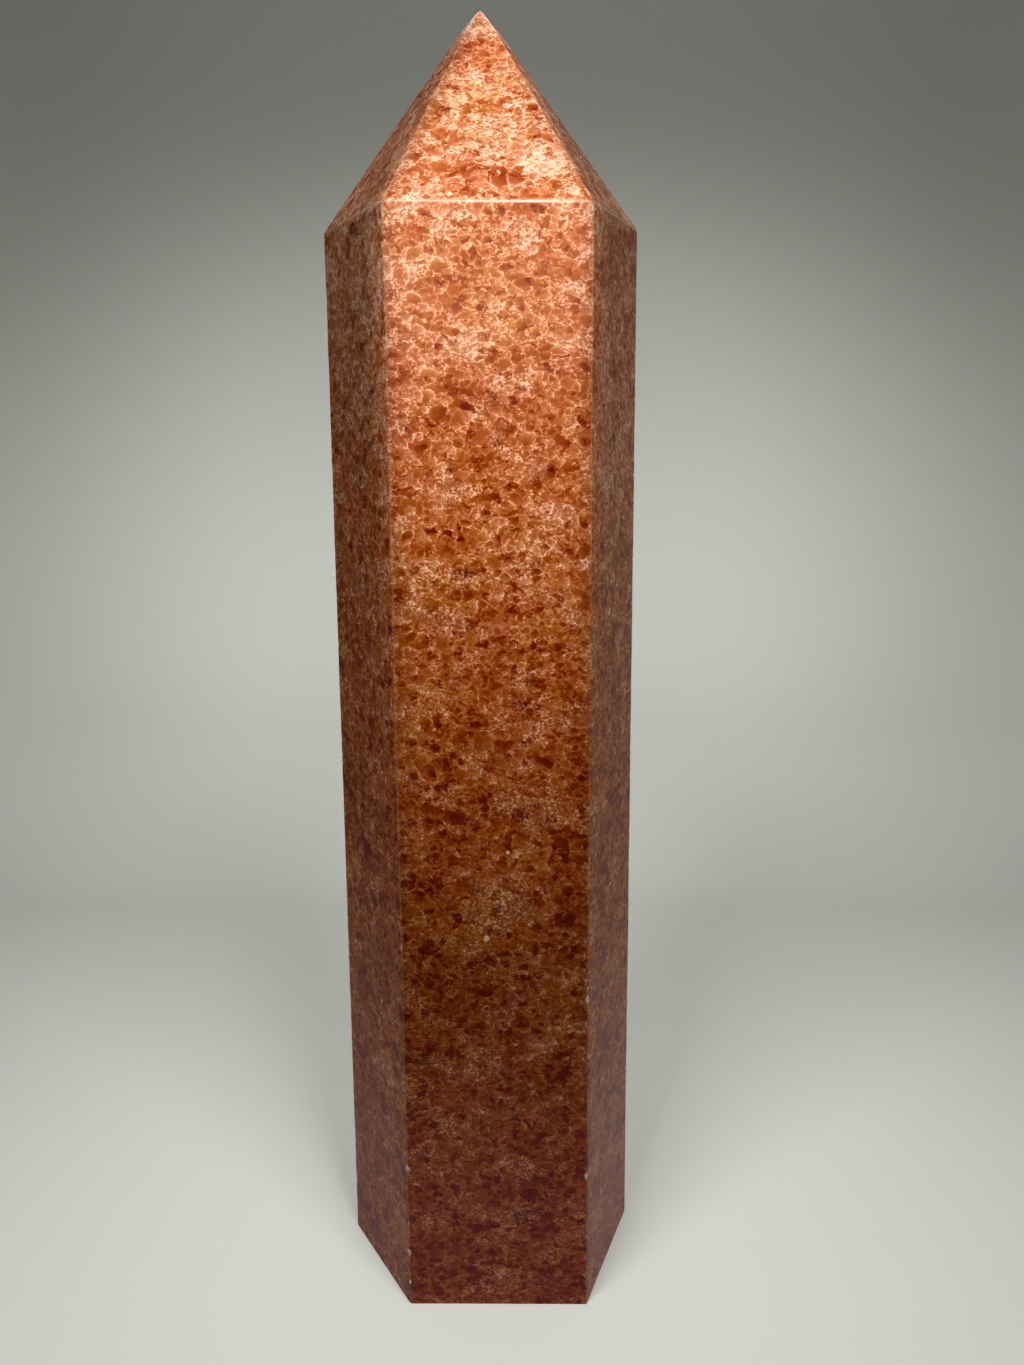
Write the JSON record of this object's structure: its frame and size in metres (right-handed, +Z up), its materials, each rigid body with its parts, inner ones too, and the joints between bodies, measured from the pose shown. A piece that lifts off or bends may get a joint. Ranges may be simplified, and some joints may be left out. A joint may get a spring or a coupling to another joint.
{
  "type": "sunstone tower",
  "caption": "Tall six-sided polished stone point of granular orange sunstone, standing on its flat base and tapering to a six-faced tip above a hand-ground shoulder.",
  "frame": {"origin": "middle of the flat base, on the surface that the tower stands on", "axes": "+Z up along the tower to its tip; the widest of the three facets seen from the front looks along -Y, and +X is to the right seen from there"},
  "size_m": [0.0562, 0.0512, 0.2341],
  "materials": {
    "sunstone": "polished granular stone: burnt orange and brick red translucent grains between pale peach veins and fine white specks, with crisp slightly rounded edges"
  },
  "bodies": {
    "root": {"tower": "sunstone"}
  },
  "joints": []
}
